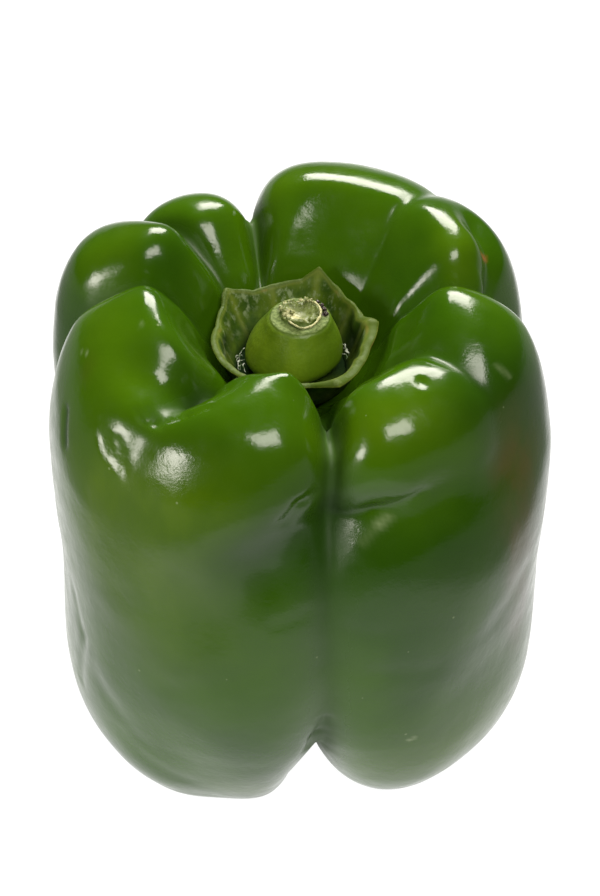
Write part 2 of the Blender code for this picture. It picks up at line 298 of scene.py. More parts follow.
# The wall ends at this share of its way to the rim, and the rest is a lip that turns outwards
CALYX_LIP_START = 0.82
CALYX_LIP_BLEND = 0.08
# Width of the lip: azimuth, width
CALYX_LIP = (
    (10, 2.2),
    (35, 0.6),
    (73, 0.5),
    (128, 0.5),
    (150, 0.8),
    (200, 1.1),
    (240, 1.2),
    (270, 0.8),
    (300, 2.0),
    (340, 1.4),
)
CALYX_LIP_RISE = 0.25
# Share of an arch that the lip follows, so that it ends a little below its top
CALYX_LIP_CURL = 0.75
# The side where the floor of the cup has little painted shade and is nearly as light as its wall:
# azimuth, spread, amount
CALYX_OPEN_SIDE = (312, 26.0, 0.75)
# Where the painted shade on the wall of the cup is darkest: azimuth, spread, amount
CALYX_SHADES = (
    (20, 24, 0.85),
    (172, 20, 0.6),
)
CALYX_THICKNESS = 0.8
# Thickness of the rim, as a share of the wall's: azimuth, share
CALYX_RIM_SHARE = (
    (10, 0.8),
    (40, 0.45),
    (140, 0.45),
    (175, 0.6),
    (235, 0.6),
    (265, 0.8),
    (297, 1.1),
    (345, 1.0),
)
# Share of the way to the rim over which the edge is rounded off
CALYX_EDGE = 0.08
CALYX_AROUND = 300
CALYX_RINGS = 110
# Raised veins run from the stem to the tips, at these azimuths
CALYX_VEINS = (10, 40, 73, 104, 135, 180, 205, 236, 268, 297, 330)
CALYX_VEIN_SPREAD = 2.6
CALYX_VEIN_HEIGHT = 0.22
# Puckers of the wall and grain of its face: size, height
CALYX_PUCKER = (3.2, 0.30)
CALYX_GRAIN = (0.9, 0.05)
# A painted highlight along the fold round the cup below its edge: place on the way to the rim,
# half width, amount
CALYX_HIGHLIGHT_LINE = (0.885, 0.010, 0.40)

# Colours of the calyx
LEAF_SHADE = (0.008, 0.018, 0.006)
LEAF_DEEP = (0.024, 0.058, 0.003)
LEAF_MID = (0.066, 0.112, 0.006)
LEAF_LIP = (0.050, 0.082, 0.005)
# Pale veins, and the leaf's pale edge with a painted highlight along it
LEAF_PALE_AND_HIGHLIGHT = (0.165, 0.200, 0.030)
LEAF_DUST = (0.200, 0.250, 0.130)
LEAF_RUST = (0.190, 0.120, 0.030)

# The stem
# Profile, from the middle of the torn end to the middle of the base: distance, height
STEM_PROFILE = (
    (0.0, 92.3),
    (2.9, 93.2),
    (3.8, 92.2),
    (5.2, 92.0),
    (6.3, 90.2),
    (7.8, 87.4),
    (8.5, 84.6),
    (7.6, 82.6),
    (5.6, 81.8),
    (0.0, 81.7),
)
STEM_RADII, STEM_HEIGHTS = zip(*STEM_PROFILE)
# Where the middle of its foot and of its top lie: across, away
STEM_FOOT = (-1.6, -0.8)
STEM_TOP = (0.0, -1.1)
STEM_RIBS = 5
STEM_RIB_SHARE = 0.018
TEAR_HEIGHT = 0.7
STEM_AROUND = 220
STEM_RINGS = 150
# The stem lies this far inside its plain form, with relief above and below that
STEM_SINK = 0.08
TEAR_RELIEF = 0.42
RING_RELIEF = 0.12
GROOVE_DEPTH = 0.20
RIND_RELIEF = 0.10
# Size of the long lumps in the rind: across, away, up
RIND_LUMPS = (2.6, 2.6, 9.0)
# The side with painted shade on the rind: azimuth, spread, amount
STEM_SHADED_SIDE = (335, 55.0, 0.8)
# Dark flecks at the edge of the torn end: across, away, height, radius
STEM_FLECKS = (
    (3.6, 1.2, 92.4, 0.9),
    (4.2, -0.6, 92.2, 0.6),
    (-3.3, 0.9, 92.5, 0.5),
    (1.4, 2.2, 92.8, 0.6),
)
# Cream spots on the pith, in the same way
CREAM_SPOTS = (
    (-0.9, -2.0, 92.6, 1.0),
    (-1.6, -1.2, 92.7, 0.8),
    (0.2, -3.2, 92.7, 0.6),
)
# Above 1, so that a spot has a plain middle
SPOT_STRENGTH = 1.6
# The loose curl of fibre round the pith: across, away, height
STEM_CURL = (
    (-2.4, -2.6, 92.9),
    (-1.2, -4.4, 92.9),
    (0.6, -5.3, 92.8),
    (2.4, -4.6, 93.0),
    (3.4, -2.8, 93.3),
    (3.5, -0.9, 93.4),
    (2.6, 0.8, 93.5),
    (0.9, 1.5, 93.4),
    (-0.6, 1.3, 93.3),
)
STEM_CURL_RADIUS = 0.28
STEM_CURL_SHAKE = 0.16
# Crumbs of torn pith: across, away, height, radius, and 1 for a dark one
STEM_CRUMBS = (
    (-3.1, -0.5, 93.0, 0.42, 0),
    (-3.3, 0.4, 92.9, 0.36, 0),
    (-2.6, 1.1, 93.1, 0.40, 0),
    (-1.8, 1.6, 93.0, 0.34, 0),
    (-2.7, -1.7, 92.9, 0.34, 0),
    (-2.2, 0.3, 92.8, 0.30, 0),
    (1.0, 1.9, 93.4, 0.46, 0),
    (1.8, 1.4, 93.6, 0.34, 0),
    (0.1, 1.7, 93.4, 0.34, 0),
    (0.7, 1.2, 93.5, 0.28, 0),
    (-1.4, -1.0, 92.9, 0.42, 0),
    (-1.9, -2.5, 92.9, 0.38, 0),
    (3.7, 1.2, 92.6, 0.42, 1),
    (4.2, 0.4, 92.4, 0.36, 1),
    (4.4, -0.6, 92.3, 0.40, 1),
    (3.0, 1.9, 92.8, 0.34, 1),
)
CRUMB_AROUND = 20
CRUMB_RINGS = 13
CRUMB_SHAPE = (1.0, 1.0, 0.8)

# Colours of the stem
STALK_DEEP = (0.064, 0.125, 0.0026)
STALK_LIGHT = (0.135, 0.215, 0.0060)
STALK_RING = (0.145, 0.195, 0.055)
STALK_GROOVE = (0.075, 0.115, 0.022)
STALK_PITH = (0.110, 0.140, 0.036)
STALK_CREAM = (0.420, 0.410, 0.200)
STALK_BROWN = (0.034, 0.024, 0.020)

# The fibres
# Left in the cup between the stem and the leaf: across, away, height
FIBRES = (
    ((-9.6, -1.4, 85.4), (-10.2, -2.8, 85.6), (-10.4, -4.4, 85.2), (-9.9, -5.8, 84.8)),
    ((-9.8, -3.0, 85.0), (-10.8, -3.8, 85.6), (-11.0, -4.8, 85.5)),
    ((-9.5, -3.9, 84.9), (-10.2, -4.6, 85.1), (-10.5, -5.8, 85.2), (-10.1, -6.9, 84.9)),
    ((-9.4, -4.9, 84.8), (-9.7, -5.9, 84.9), (-9.3, -7.2, 84.7)),
    ((-10.4, -3.4, 85.3), (-10.9, -4.3, 85.2), (-10.6, -5.2, 85.0)),
    ((-9.9, -5.4, 84.8), (-10.6, -6.2, 85.0), (-10.4, -7.0, 84.8)),
    ((7.1, -0.6, 85.8), (7.7, -1.4, 86.0), (8.0, -2.6, 85.8), (8.4, -3.6, 85.5)),
    ((7.3, -1.6, 85.5), (8.0, -2.3, 85.7), (8.5, -3.1, 85.6)),
    ((7.2, -2.4, 85.1), (7.9, -3.2, 85.3), (8.1, -4.2, 85.1)),
)
FIBRE_RADIUS = 0.10
FIBRE_SHAKE = 0.30
FIBRE_PALE = (0.320, 0.340, 0.280)

# Floor, lights and camera, in metres
FLOOR_HALF = 4.0
# The floor glows in an oval pool: middle, and half sizes across, away and up
FLOOR_MIDDLE = (0.0, 0.07, 0.0)
FLOOR_POOL = (0.085, 0.22, 1.0)
# The glow fades out up to this many times the pool's size
FLOOR_FADE = 1.8
FLOOR_GLOW = 1.0
# Share of the glow that is left outside the pool
FLOOR_DIM = 0.30
FLOOR_GREY = (0.05, 0.05, 0.05)
FLOOR_PALE = (0.08, 0.08, 0.08)
WHITE = (1.0, 1.0, 1.0, 1.0)
# Soft lights: name, azimuth and elevation of the direction, width, height, brightness
LIGHTS = (
    ("back", 82, 44, 0.60, 0.50, 21.0),
    ("front", 294, 59, 0.60, 0.36, 14.5),
    ("left", 209, 16, 0.28, 0.24, 24.0),
)
LIGHT_DISTANCE = 1.0
LIGHT_COLOUR = (1.0, 0.95, 0.87)
LIGHT_AIM = Vector((0.0, 0.0, 0.06))
ROOM_LIGHT = 0.04
CAMERA_ELEVATION = 41.5
CAMERA_DISTANCE = 0.555
CAMERA_AZIMUTH = 270
# Height on the pepper that the elevation and the distance are measured from
CAMERA_TARGET = 0.050
# Degrees by which the view is turned up, so that the pepper stands a little low in the frame
CAMERA_LIFT = 0.893
# Focal length and sensor width in millimetres
CAMERA_LENS = 123.75
CAMERA_SENSOR = 36.0


# Curves and angles
def ease(value, keys, amounts):
    """Amount at each value: level at the keys, with a smooth step from one key to the next."""
    result = np.full(np.shape(value), float(amounts[0]))
    for low, high, start, finish in zip(keys[:-1], keys[1:], amounts[:-1], amounts[1:]):
        step = limit((value - low) / (high - low))
        step = step * step * (3.0 - 2.0 * step)
        result = np.where(value >= low, start + (finish - start) * step, result)
    return result


def limit(value):
    """The value, kept between 0 and 1."""
    return np.clip(value, 0.0, 1.0)


def fade(distance, reach):
    """1 at no distance, fading to 0 within a few times the reach."""
    return np.exp(-(distance / reach) ** 2)


def turn(angle):
    """An angle in degrees, brought between -180 and 180."""
    return (angle + 180.0) % 360.0 - 180.0


def on_side(azimuth, side):
    """The amount of a side, given by azimuth, spread and amount, fading away from it."""
    place, reach, amount = side
    return amount * fade(turn(azimuth - place), reach)


def curve_between(row, index, way):
    """The smooth curve through the rows, at a share of the way from one row to the next."""
    before, start, finish, after = row[index], row[index + 1], row[index + 2], row[index + 3]
    linear = (finish - before) * way
    square = (2.0 * before - 5.0 * start + 4.0 * finish - after) * way ** 2
    cube = (3.0 * start - before - 3.0 * finish + after) * way ** 3
    return 0.5 * (2.0 * start + linear + square + cube)


def along(values, station, mirror):
    """A smooth curve through the values at whole stations; mirror is -1 for a distance from the
    axis, which changes sign past either end, and 1 for a height, which doesn't."""
    row = np.array([mirror * values[1], *values, mirror * values[-2]])
    index = np.clip(np.floor(station).astype(int), 0, len(values) - 2)
    return curve_between(row, index, station - index)


def places_round(middle, azimuth, radius, height):
    """Places at an azimuth and a distance from a middle, and at a height."""
    angle = np.radians(azimuth)
    x = middle[0] + radius * np.cos(angle)
    y = middle[1] + radius * np.sin(angle)
    return np.stack([x, y, height], axis=-1)


# The plain form of the fruit
def lobed_profile(azimuth, station):
    """Distance from the core and height on the skin, with the lobes and without the furrows."""
    radius = along(PROFILE_RADII, station, -1)
    height = along(PROFILE_HEIGHTS, station, 1)
    pulls = [fade(turn(azimuth - lobe[0]), LOBE_SPREAD) for lobe in LOBES]
    total = sum(pulls)
    for lobe, pull in zip(LOBES, pulls):
        crest_up, crest_out, shoulder_out, waist_out, heel_out = lobe[1:]
        share = pull / total
        up = (0.0, crest_up, LOBE_UP_SHARE * crest_up, 0.0)
        out = (0.0, crest_out, shoulder_out, waist_out, heel_out, 0.0)
        height = height + share * ease(station, LOBE_UP_STATIONS, up)
        radius = radius + share * ease(station, LOBE_OUT_STATIONS, out)
    return radius, height


def stroke(azimuth, station, row):
    """The last number of a straight stroke's row where it runs, fading to 0 away from it."""
    azimuth_a, station_a, azimuth_b, station_b, half_width, amount = row
    across = turn(azimuth - azimuth_a) * WALL_DEGREE
    down = (station - station_a) * WALL_STATION
    run = (azimuth_b - azimuth_a) * WALL_DEGREE
    fall = (station_b - station_a) * WALL_STATION
    share = limit((across * run + down * fall) / (run * run + fall * fall))
    distance = np.hypot(across - share * run, down - share * fall)
    return amount * fade(distance, half_width)


def furrow_deep(station, furrow):
    """Depth of a furrow along its bottom."""
    crest, shoulder, waist, foot = furrow[4:8]
    return ease(station, FURROW_STATIONS, (0.0, crest, shoulder, waist, foot, 0.0))


def furrow_offset(azimuth, station, furrow):
    """How far each place is from the bottom of a furrow, in the furrow's widths."""
    narrow = ease(station, (CREST, WAIST), (CREST_WIDTH, 1.0))
    return turn(azimuth - furrow[0]) / (furrow[8] * narrow)


def furrow_depth(azimuth, station):
    """How far the furrows and pinches sink the skin, less what the bulges raise it. Where
    pinches meet, they run into one another smoothly."""
    depth = np.zeros(np.shape(station))
    for furrow in FURROWS:
        offset = furrow_offset(azimuth, station, furrow)
        shape = np.exp(FURROW_ROUNDING - np.sqrt(offset ** 2 + FURROW_ROUNDING ** 2))
        depth += furrow_deep(station, furrow) * shape
    pinches = [stroke(azimuth, station, row) for row in PINCHES]
    bulges = [stroke(azimuth, station, row) for row in BULGES]
    deepest = np.sum(np.power(pinches, 4), axis=0) ** 0.25
    return depth + deepest - np.sum(bulges, axis=0)


def furrow_turn(azimuth, station):
    """How far round the skin is turned where a furrow doesn't run straight down."""
    turned = np.zeros(np.shape(station))
    for furrow in FURROWS:
        at_throat, at_waist, at_foot = furrow[1:4]
        amount = ease(station, (THROAT, CREST, WAIST, FOOT), (at_throat, 0.0, at_waist, at_foot))
        turned += amount * fade(turn(azimuth - furrow[0]), TURN_REACH)
    return turned


def fruit_points(azimuth, station):
    """Places on the plain skin, in millimetres, for arrays of azimuth and station."""
    radius, height = lobed_profile(azimuth, station)
    depth = furrow_depth(azimuth, station) * limit(radius / CORE_REACH)
    direction = np.radians(along(PROFILE_DIRECTIONS, station, 1))
    radius = np.maximum(radius - depth * np.cos(direction), 0.0)
    height = np.maximum(height - depth * np.sin(direction), 0.0)
    shift = 1.0 - ease(station, (THROAT, CREST), (0.0, 1.0))
    middle = [distance * shift for distance in THROAT_SHIFT]
    return places_round(middle, azimuth + furrow_turn(azimuth, station), radius, height)


# Meshes
def smooth_noise(points, size, lift=0.0):
    """Smooth noise from -1 to 1 at points in millimetres, for lumps of a size, or of a size
    across, away and up."""
    places = points / np.array(size) + lift
    return np.array([noise.noise(Vector(place)) for place in places])


def even_shares(rings):
    """Shares of the way from pole to pole for a number of rings, evenly placed."""
    return np.arange(1, rings + 1) / (rings + 1)


def rings_and_poles(around, shares):
    """Azimuth and share of the vertices of a closed round piece, a pole first and a pole last."""
    azimuths = np.arange(around) * 360.0 / around
    azimuth = np.concatenate([[0.0], np.tile(azimuths, len(shares)), [0.0]])
    share = np.concatenate([[0.0], np.repeat(shares, around), [1.0]])
    return azimuth, share


def round_faces(around, rings):
    """Faces of a closed round piece, facing out if its first pole is the upper one."""
    faces = []
    last = 1 + around * rings
    bottom = 1 + (rings - 1) * around
    for here in range(around):
        beside = (here + 1) % around
        faces.append((0, 1 + here, 1 + beside))
        for ring in range(rings - 1):
            upper = 1 + ring * around
            lower = upper + around
            faces.append((upper + here, lower + here, lower + beside, upper + beside))
        faces.append((bottom + here, last, bottom + beside))
    return faces


def new_mesh(name, points, faces):
    """A mesh with nothing on it yet."""
    mesh = bpy.data.meshes.new(name)
    mesh.from_pydata([tuple(point) for point in points], [], faces)
    mesh.update()
    return mesh


def new_object(name, data):
    """An object with its data, in the scene."""
    added = bpy.data.objects.new(name, data)
    bpy.context.scene.collection.objects.link(added)
    return added


def add_mesh(name, points, faces, material, painted):
    """A smooth mesh from points in metres, with numbers painted on it, riding on the one body."""
    mesh = new_mesh(name, points, faces)
    mesh.shade_smooth()
    mesh.materials.append(material)
    for key, values in painted.items():
        layer = mesh.attributes.new(key, "FLOAT", "POINT")
        layer.data.foreach_set("value", np.asarray(values, dtype=np.float32))
    piece = new_object(name, mesh)
    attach(piece, "root")
    return piece


def vertex_normals(points, faces):
    """Unit normals at the points of a mesh."""
    mesh = new_mesh("normals", points, faces)
    normals = np.empty(len(points) * 3, dtype=np.float32)
    mesh.vertex_normals.foreach_get("vector", normals)
    bpy.data.meshes.remove(mesh)
    return normals.reshape(-1, 3).astype(float)


# Materials
def new_surface(name, roughness):
    """A material, with its node tree and its shader."""
    material = bpy.data.materials.new(name)
    material.use_nodes = True
    shader = material.node_tree.nodes["Principled BSDF"]
    shader.inputs["Roughness"].default_value = roughness
    return material, material.node_tree, shader


def put(tree, value, socket):
    """Links a socket, or sets a number or a colour, on an input."""
    if isinstance(value, bpy.types.NodeSocket):
        tree.links.new(value, socket)
    elif isinstance(value, tuple):
        socket.default_value = (*value, 1.0)
    else:
        socket.default_value = value


def coordinates(tree):
    """Places in the piece's own frame, in metres."""
    return tree.nodes.new("ShaderNodeTexCoord").outputs["Object"]


def noise_field(tree, scale, detail=3.0, stretch=(1.0, 1.0, 1.0), roughness=0.5):
    """Noise from 0 to 1, of a number of lumps per metre."""
    place = tree.nodes.new("ShaderNodeMapping")
    tree.links.new(coordinates(tree), place.inputs["Vector"])
    place.inputs["Scale"].default_value = stretch
    field = tree.nodes.new("ShaderNodeTexNoise")
    tree.links.new(place.outputs["Vector"], field.inputs["Vector"])
    field.inputs["Scale"].default_value = scale
    field.inputs["Detail"].default_value = detail
    field.inputs["Roughness"].default_value = roughness
    return field.outputs["Fac"]


def dots(tree, scale):
    """Distance to the nearest of scattered points, and a random number for each."""
    field = tree.nodes.new("ShaderNodeTexVoronoi")
    tree.links.new(coordinates(tree), field.inputs["Vector"])
    field.inputs["Scale"].default_value = scale
    chance = tree.nodes.new("ShaderNodeSeparateColor")
    tree.links.new(field.outputs["Color"], chance.inputs["Color"])
    return field.outputs["Distance"], chance.outputs["Red"]


def spread(tree, value, low, high, to_low=0.0, to_high=1.0):
    """The value eased from low..high to to_low..to_high."""
    step = tree.nodes.new("ShaderNodeMapRange")
    step.interpolation_type = "SMOOTHSTEP"
    put(tree, value, step.inputs["Value"])
    step.inputs["From Min"].default_value = low
    step.inputs["From Max"].default_value = high
    step.inputs["To Min"].default_value = to_low
    step.inputs["To Max"].default_value = to_high
    return step.outputs["Result"]


def calculate(tree, operation, first, second):
    """The result of an operation on two sockets or numbers."""
    step = tree.nodes.new("ShaderNodeMath")
    step.operation = operation
    put(tree, first, step.inputs[0])
    put(tree, second, step.inputs[1])
    return step.outputs["Value"]


def multiply(tree, first, second):
    """One socket or number times another."""
    return calculate(tree, "MULTIPLY", first, second)


def blend_colours(tree, factor, first, second):
    """The first colour turning into the second."""
    step = tree.nodes.new("ShaderNodeMix")
    step.data_type = "RGBA"
    put(tree, factor, step.inputs[0])
    put(tree, first, step.inputs[6])
    put(tree, second, step.inputs[7])
    return step.outputs[2]


def mask(tree, name):
    """The number painted on the mesh under that name."""
    field = tree.nodes.new("ShaderNodeAttribute")
    field.attribute_name = name
    return field.outputs["Fac"]


def faint_mask(tree, name, amount):
    """The number painted on the mesh under that name, times an amount."""
    return multiply(tree, mask(tree, name), amount)


def add_bump(tree, shader, height, depth):
    """Fine relief of a depth in metres."""
    bump = tree.nodes.new("ShaderNodeBump")
    bump.inputs["Strength"].default_value = 1.0
    bump.inputs["Distance"].default_value = depth
    put(tree, height, bump.inputs["Height"])
    tree.links.new(bump.outputs["Normal"], shader.inputs["Normal"])


# The skin
def skin_material():
    """Waxy deep green skin: broad drifts of tone, yellower patches, pale pin specks, a little
    brown and scars, painted shade in the furrows, creases and hollows and on the right side,
    and the fine grain that breaks up its highlights."""
    material, tree, shader = new_surface("skin_wax", 0.2)
    shader.inputs["IOR"].default_value = 1.40
    drift = noise_field(tree, 38.0, 3.0)
    colour = blend_colours(tree, spread(tree, drift, 0.32, 0.68), SKIN_DEEP, SKIN_MID)
    mottle = noise_field(tree, 160.0, 4.0, (1.0, 1.0, 0.6))
    yellow_patch = multiply(tree, mask(tree, "yellow_patch"), spread(tree, mottle, 0.25, 0.75, 0.6, 1.0))
    colour = blend_colours(tree, yellow_patch, colour, SKIN_YELLOW)
    # painted shade: darker in the creases and hollows and on the right side
    colour = blend_colours(tree, faint_mask(tree, "deep", 0.8), colour, SKIN_SHADE)
    # painted shade: the bottoms of the furrows darker
    colour = blend_colours(tree, faint_mask(tree, "furrow", 0.55), colour, SKIN_FURROW_SHADE)
    brown = multiply(tree, mask(tree, "brown"), spread(tree, mottle, 0.35, 0.65, 0.4, 1.0))
    colour = blend_colours(tree, brown, colour, SKIN_BROWN)
    distance, chance = dots(tree, 260.0)
    near = spread(tree, distance, 0.045, 0.075, 1.0, 0.0)
    speck = multiply(tree, near, spread(tree, chance, 0.86, 0.88))
    pale = calculate(tree, "MAXIMUM", multiply(tree, speck, 0.55), mask(tree, "pale"))
    colour = blend_colours(tree, pale, colour, SKIN_PALE)
    colour = blend_colours(tree, mask(tree, "scar"), colour, SKIN_SCAR)
    tree.links.new(colour, shader.inputs["Base Color"])
    wax = noise_field(tree, 300.0, 4.0)
    rough = spread(tree, wax, 0.3, 0.7, 0.13, 0.22)
    rough = calculate(tree, "ADD", rough, faint_mask(tree, "scar", 0.35))
    rough = calculate(tree, "ADD", rough, faint_mask(tree, "furrow", 0.45))
    tree.links.new(rough, shader.inputs["Roughness"])
    pores = noise_field(tree, 2600.0, 2.0)
    grain = noise_field(tree, 1100.0, 2.0)
    ripple = noise_field(tree, 330.0, 2.0)
    height = calculate(tree, "ADD", multiply(tree, grain, 0.30), ripple)
    height = calculate(tree, "ADD", multiply(tree, pores, 0.25), height)
    add_bump(tree, shader, height, 0.00006)
    return material


def add_skin():
    """The fruit's skin: the plain form, sunk a little, with lumps, sharp furrows and creases."""
    profile = np.array([row[:2] for row in PROFILE])
    lengths = np.concatenate([[0.0], np.cumsum(np.hypot(*np.diff(profile, axis=0).T))])
    stations = np.interp(even_shares(SKIN_RINGS) * lengths[-1], lengths, np.arange(END + 1))
    azimuth, share = rings_and_poles(SKIN_AROUND, stations / END)
    station = share * END
    faces = round_faces(SKIN_AROUND, SKIN_RINGS)
    points = fruit_points(azimuth, station)
    middle = (points.min(axis=0) + points.max(axis=0)) / 2.0
    middle[2] = 0.0
    sunk = skin_relief(azimuth, station, points)
    points = points - sunk[:, None] * vertex_normals(points, faces)
    points[:, 2] = np.maximum(points[:, 2], 0.0)
    # furrow: painted shade in the bottoms of the furrows, which are also made rougher
    painted = {"furrow": furrow_shade_mask(azimuth, station)}
    for name, patches in PATCHES.items():
        painted[name] = patch_mask(azimuth, station, patches)
    piece = add_mesh("pepper_skin", (points - middle) * MM, faces, skin_material(), painted)
    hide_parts("fruit")
    return middle


def skin_relief(azimuth, station, points):
    """How far each place on the skin lies inside the plain form."""
    sunk = np.full(len(station), SKIN_SINK)
    for number, (across, upwards, height) in enumerate(SKIN_LUMPS):
        sunk -= height * smooth_noise(points, (across, across, upwards), 7.3 * number)
    for furrow in FURROWS:
        offset = np.abs(furrow_offset(azimuth, station, furrow))
        beyond = furrow_deep(station, furrow) - CREASE_START
        strength = limit(beyond / (CREASE_WHOLE - CREASE_START))
        sunk += CREASE_DEPTH * strength * limit(1.0 - offset / CREASE_WIDTH)
    for row in STROKES:
        sunk += stroke(azimuth, station, row)
    sunk += dimple_depth(azimuth, station)
    return sunk * limit(points[:, 2] / FOOT_REACH)


def dimple_depth(azimuth, station):
    """The round dimple, with short wrinkles running out from it on its right."""
    middle_azimuth, middle_station, radius, deep, station_length = DIMPLE
    count, ray_distance, ray_length, ray_depth = DIMPLE_RAYS
    across = turn(azimuth - middle_azimuth) * WALL_DEGREE
    down = (station - middle_station) * station_length
    distance = np.hypot(across, down)
    angle = np.arctan2(down, across)
    rays = 0.5 + 0.5 * np.cos(count * angle)
    ring = fade(distance - ray_distance, ray_length) * limit(np.cos(angle))
    return deep * fade(distance, radius) + ray_depth * rays * ring


def furrow_shade_mask(azimuth, station):
    """Painted shade in the bottom of the furrows: 1 there, 0 away from them."""
    amount = np.zeros(len(station))
    for furrow in FURROWS:
        offset = furrow_offset(azimuth, station, furrow)
        strength = limit(furrow_deep(station, furrow) / FURROW_SHADE_DEPTH)
        amount = np.maximum(amount, strength * fade(offset, FURROW_SHADE_WIDTH))
    return amount


def patch_mask(azimuth, station, patches):
    """The patches painted over each other."""
    amounts = [stroke(azimuth, station, row) for row in patches]
    return limit(np.sum(amounts, axis=0))


# The calyx
def read_round(azimuth, table, column=1):
    """The number in a column of a table of azimuths, for each azimuth."""
    places = [row[0] for row in table]
    return np.interp(azimuth % 360.0, places, [row[column] for row in table], period=360.0)


def calyx_middle_points(azimuth, reach):
    """Places midway through the calyx: reach is 0 in the middle of its floor and 1 at its rim."""
    rim_radius = read_round(azimuth, CALYX_RIM)
    rim_height = read_round(azimuth, CALYX_RIM, 2)
    lip = read_round(azimuth, CALYX_LIP)
    floor = limit(reach / CALYX_FLOOR_SHARE)
    climb = limit((reach - CALYX_FLOOR_SHARE) / (1.0 - CALYX_FLOOR_SHARE))
    wall = limit(climb / CALYX_LIP_START)
    outwards = ease(climb, (CALYX_LIP_START - CALYX_LIP_BLEND, 1.0), (0.0, 1.0))
    radius = CALYX_FLOOR_RADIUS * floor + (rim_radius - lip - CALYX_FLOOR_RADIUS) * wall
    radius = radius + CALYX_BULGE * np.sin(np.pi * wall) + lip * outwards
    height = CALYX_FLOOR + (rim_height - CALYX_LIP_RISE - CALYX_FLOOR) * wall ** CALYX_CLIMB
    height = height + CALYX_LIP_RISE * np.sin(np.pi * CALYX_LIP_CURL * outwards)
    return places_round(THROAT_SHIFT, azimuth, radius, height)


def calyx_normals(azimuth, reach):
    """Directions square to the calyx, towards the inside of the cup."""
    ahead = calyx_middle_points(azimuth + 0.5, reach) - calyx_middle_points(azimuth - 0.5, reach)
    outer = calyx_middle_points(azimuth, np.minimum(reach + 0.01, 1.0))
    inner = calyx_middle_points(azimuth, np.maximum(reach - 0.01, 0.0))
    normal = np.cross(ahead, inner - outer)
    length = np.linalg.norm(normal, axis=-1, keepdims=True)
    upright = np.array([0.0, 0.0, 1.0])
    return np.where(length > 1e-6, normal / np.maximum(length, 1e-6), upright)


def calyx_points(azimuth, share):
    """Places on the calyx, with veins and a puckered rim: share 0 to 0.5 runs out over its inner
    face, and 0.5 to 1 back under it over its outer face."""
    reach = 1.0 - np.abs(2.0 * share - 1.0)
    inside = share <= 0.5
    taper = np.sqrt(limit((1.0 - reach) / CALYX_EDGE))
    rim_share = read_round(azimuth, CALYX_RIM_SHARE)
    taper = taper * (1.0 + (rim_share - 1.0) * ease(reach, (0.7, 0.95), (0.0, 1.0)))
    # near the middle of the floor every azimuth has the same direction
    steady = np.where(reach < 0.05, 0.0, azimuth)
    middle = calyx_middle_points(azimuth, reach)
    pucker_size, pucker_height = CALYX_PUCKER
    pucker = smooth_noise(middle, pucker_size, 2.0) * pucker_height
    pucker = pucker * limit((reach - 0.5) / 0.4)
    grain_size, grain_height = CALYX_GRAIN
    grain = smooth_noise(middle, grain_size, 5.0) * grain_height
    vein = CALYX_VEIN_HEIGHT * calyx_vein(azimuth, reach)
    inner = taper * (CALYX_THICKNESS / 2.0 + vein + grain)
    outer = -taper * (CALYX_THICKNESS / 2.0 + grain)
    offset = np.where(inside, inner, outer) + pucker
    return middle + offset[..., None] * calyx_normals(steady, reach)


def calyx_vein(azimuth, reach):
    """1 on the veins of the calyx, 0 between them."""
    amount = np.zeros(len(reach))
    for place in CALYX_VEINS:
        amount = np.maximum(amount, fade(turn(azimuth - place), CALYX_VEIN_SPREAD))
    return amount * limit((reach - 0.3) / 0.3)


def calyx_shade(azimuth, reach):
    """Painted shade inside the cup: on its floor all round, and on its wall in places."""
    floor = ease(reach, (0.42, 0.64), (1.0, 0.0)) * (1.0 - on_side(azimuth, CALYX_OPEN_SIDE))
    wall = sum(on_side(azimuth, side) for side in CALYX_SHADES)
    return np.maximum(floor, wall * ease(reach, (0.74, 0.86), (1.0, 0.0)))


def leaf_material():
    """Dull leafy green: paler veins, a pale edge with a painted highlight along it and a little
    rust, the whitish bloom that dries on the inside, and painted shade on the floor of the cup, on
    its wall in places and over its outer face."""
    material, tree, shader = new_surface("leaf_dull", 0.5)
    # low: painted shade, which darkens the cup and takes away its gloss
    low = mask(tree, "low")
    tree.links.new(spread(tree, low, 0.0, 0.8, 0.16, 0.0), shader.inputs["Specular IOR Level"])
    tone = noise_field(tree, 260.0, 4.0)
    colour = blend_colours(tree, spread(tree, tone, 0.35, 0.65), LEAF_DEEP, LEAF_MID)
    colour = blend_colours(tree, faint_mask(tree, "vein", 0.45), colour, LEAF_PALE_AND_HIGHLIGHT)
    colour = blend_colours(tree, faint_mask(tree, "lip", 0.8), colour, LEAF_LIP)
    bloom = noise_field(tree, 900.0, 5.0, (1.0, 1.0, 0.5), 0.65)
    cloud = noise_field(tree, 180.0, 2.0)
    dust = multiply(tree, spread(tree, bloom, 0.48, 0.66), spread(tree, cloud, 0.40, 0.58))
    dust = multiply(tree, dust, mask(tree, "inside"))
    dust = multiply(tree, dust, spread(tree, mask(tree, "lip"), 0.0, 1.0, 1.0, 0.35))
    colour = blend_colours(tree, multiply(tree, dust, 0.8), colour, LEAF_DUST)
    # edge: the leaf's paler rim with a painted highlight along it, and a painted highlight along
    # the fold below it
    colour = blend_colours(tree, mask(tree, "edge"), colour, LEAF_PALE_AND_HIGHLIGHT)
    rust = multiply(tree, mask(tree, "edge"), spread(tree, tone, 0.58, 0.66))
    colour = blend_colours(tree, rust, colour, LEAF_RUST)
    colour = blend_colours(tree, low, colour, LEAF_SHADE)
    tree.links.new(colour, shader.inputs["Base Color"])
    tree.links.new(spread(tree, bloom, 0.3, 0.7, 0.45, 0.70), shader.inputs["Roughness"])
    add_bump(tree, shader, bloom, 0.00012)
    return material


